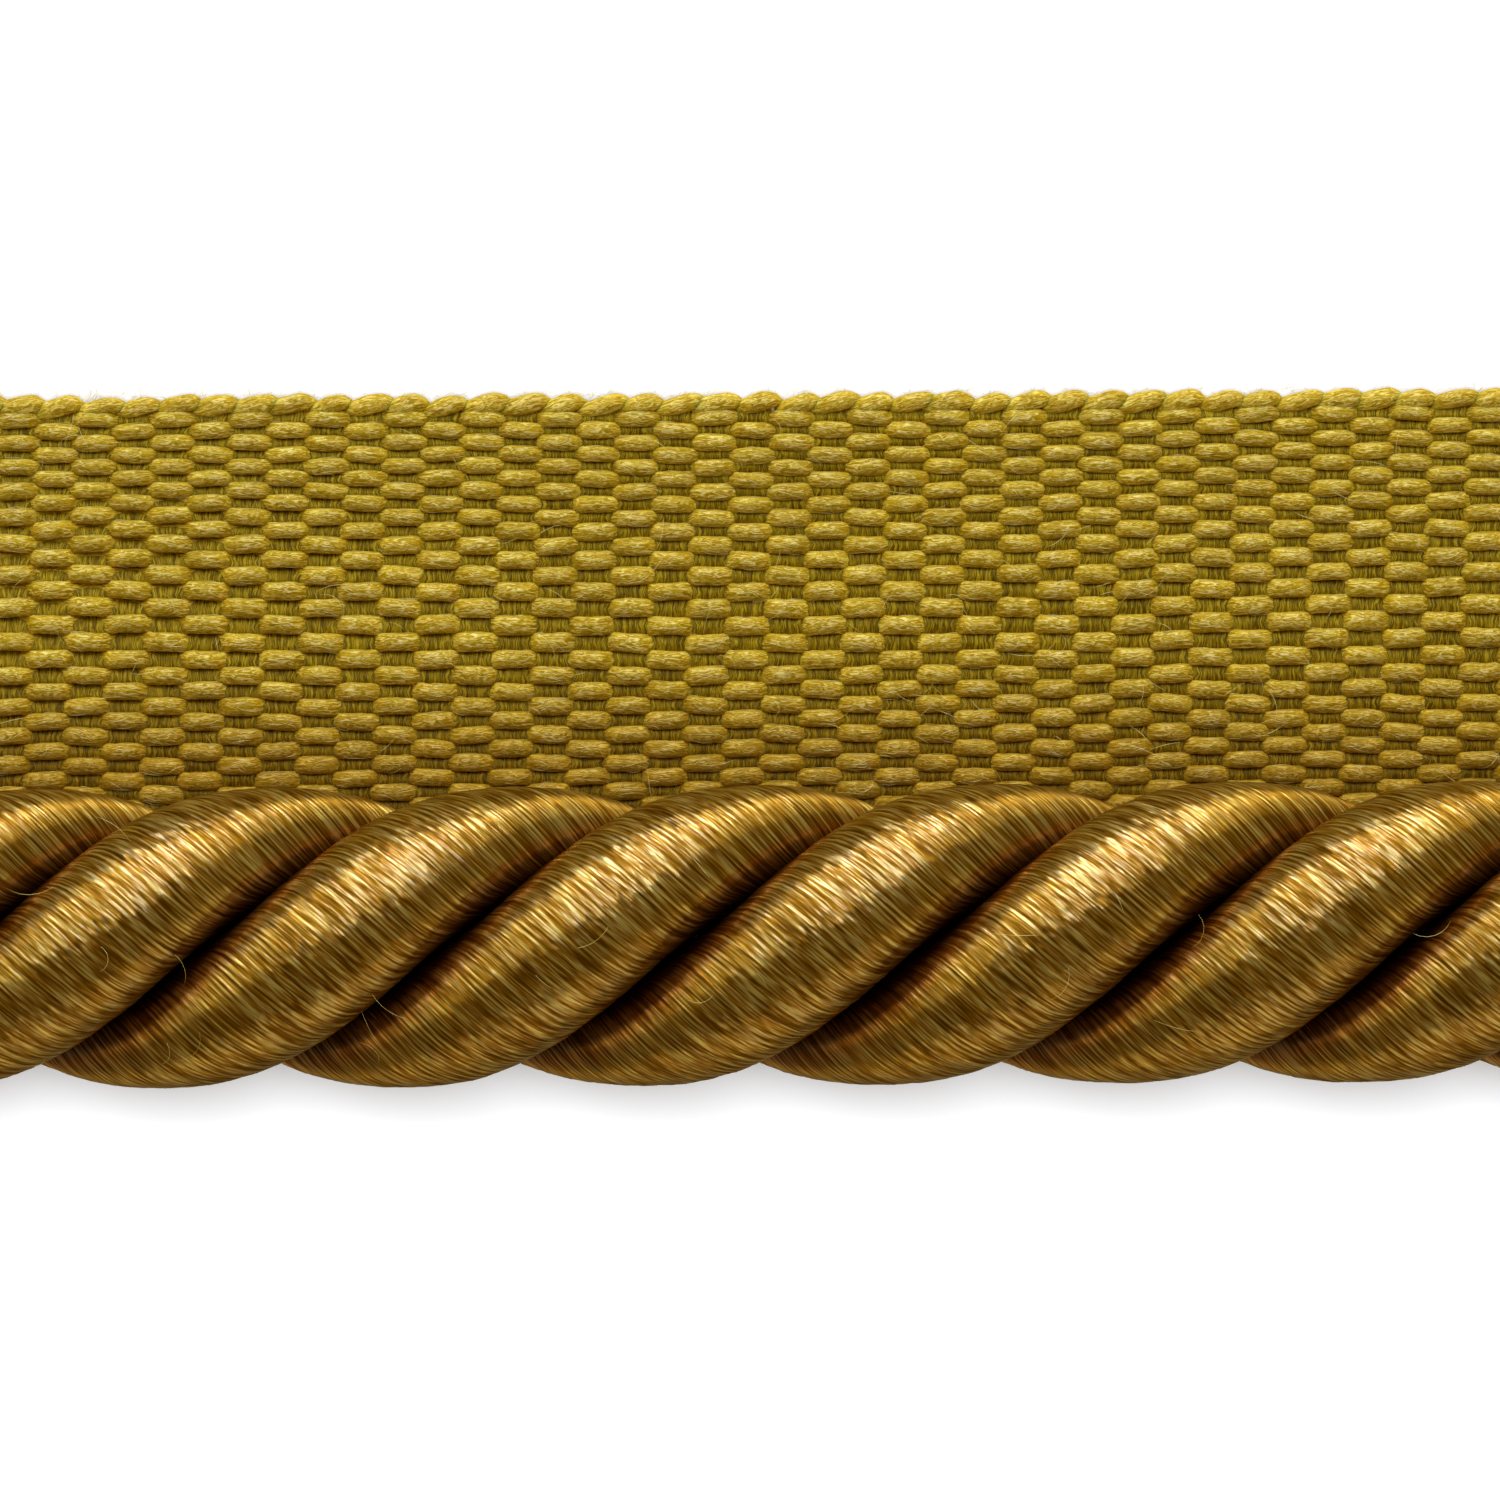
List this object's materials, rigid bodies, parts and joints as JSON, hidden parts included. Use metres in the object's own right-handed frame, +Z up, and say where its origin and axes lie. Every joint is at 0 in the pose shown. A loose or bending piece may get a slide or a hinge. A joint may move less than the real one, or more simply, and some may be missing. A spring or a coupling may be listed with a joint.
{
  "type": "lip cord trim",
  "caption": "Twisted satin cord lying along one edge of a flat woven tape, the lip that is sewn into a seam so that only the cord shows; a short cut length with plain cut ends",
  "frame": {"origin": "centre of the trim's box, on the surface that the tape lies on", "axes": "+X along the trim, +Y across the tape from the cord towards the free edge, +Z up from the tape's underside"},
  "size_m": [0.0678, 0.0218, 0.0108],
  "materials": {
    "woven_tape": "olive-gold plain weave of soft spun yarn, dry and slightly fuzzy",
    "satin_strand": "brown-gold satin filament yarn, glossy along the strands and dark in the grooves"
  },
  "bodies": {
    "root": {"lip": "woven_tape", "strand_1": "satin_strand", "strand_2": "satin_strand", "strand_3": "satin_strand"}
  },
  "joints": []
}
